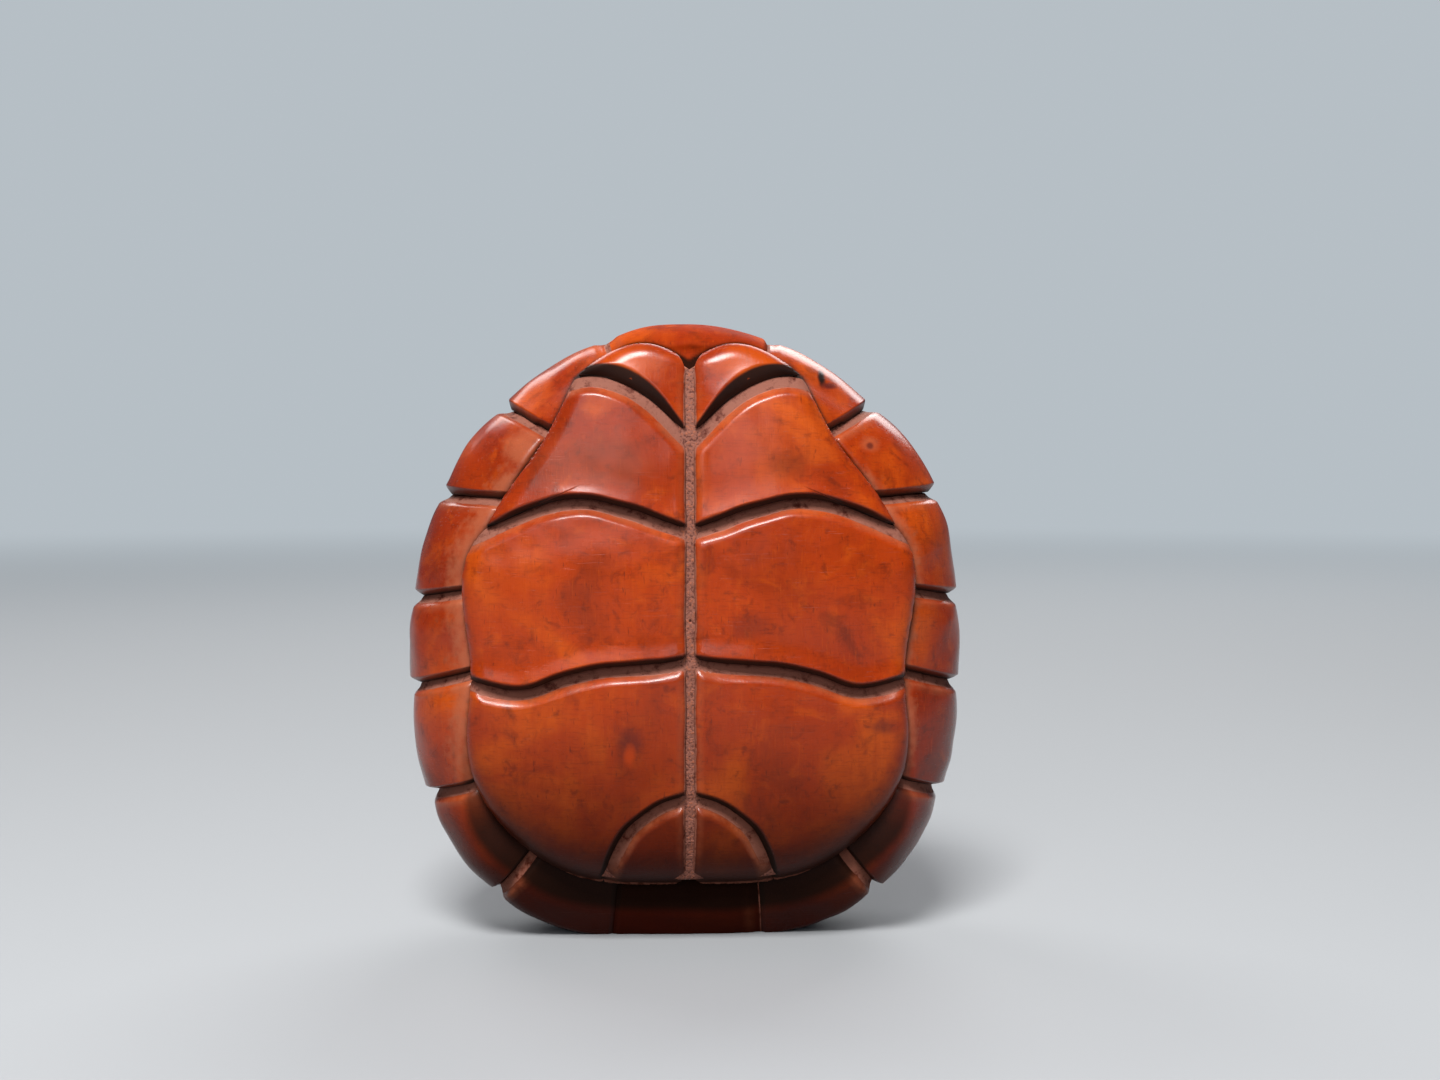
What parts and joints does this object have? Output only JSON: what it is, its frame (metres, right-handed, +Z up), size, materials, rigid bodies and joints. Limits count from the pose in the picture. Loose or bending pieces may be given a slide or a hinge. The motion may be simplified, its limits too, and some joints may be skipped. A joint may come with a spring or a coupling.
{
  "type": "turtle figurine",
  "caption": "Carved wooden tortoise shell that stands on its tail edge: a flat belly of plates in front, a ring of rim plates and a domed plated back.",
  "frame": {"origin": "middle of the bottom of the shell's box, on the surface that it stands on", "axes": "+Z up, +X to the viewer's right, the belly faces -Y"},
  "size_m": [0.0646, 0.038, 0.071],
  "materials": {
    "groove_wood": "matte",
    "belly_wood": "varnished",
    "rim_wood": "varnished",
    "back_wood": "varnished"
  },
  "bodies": {
    "root": {"shell_block": "groove_wood", "gular_left": "belly_wood", "gular_right": "belly_wood", "humeral_left": "belly_wood", "humeral_right": "belly_wood", "abdominal_left": "belly_wood", "abdominal_right": "belly_wood", "femoral_left": "belly_wood", "femoral_right": "belly_wood", "anal_left": "belly_wood", "anal_right": "belly_wood", "nuchal": "rim_wood", "marginal_1_left": "rim_wood", "marginal_1_right": "rim_wood", "marginal_2_left": "rim_wood", "marginal_2_right": "rim_wood", "marginal_3_left": "rim_wood", "marginal_3_right": "rim_wood", "marginal_4_left": "rim_wood", "marginal_4_right": "rim_wood", "marginal_5_left": "rim_wood", "marginal_5_right": "rim_wood", "marginal_6_left": "rim_wood", "marginal_6_right": "rim_wood", "marginal_7_left": "rim_wood", "marginal_7_right": "rim_wood", "supracaudal": "rim_wood", "vertebral_1": "back_wood", "vertebral_2": "back_wood", "vertebral_3": "back_wood", "vertebral_4": "back_wood", "vertebral_5": "back_wood", "costal_1_left": "back_wood", "costal_1_right": "back_wood", "costal_2_left": "back_wood", "costal_2_right": "back_wood", "costal_3_left": "back_wood", "costal_3_right": "back_wood", "costal_4_left": "back_wood", "costal_4_right": "back_wood"}
  },
  "joints": []
}
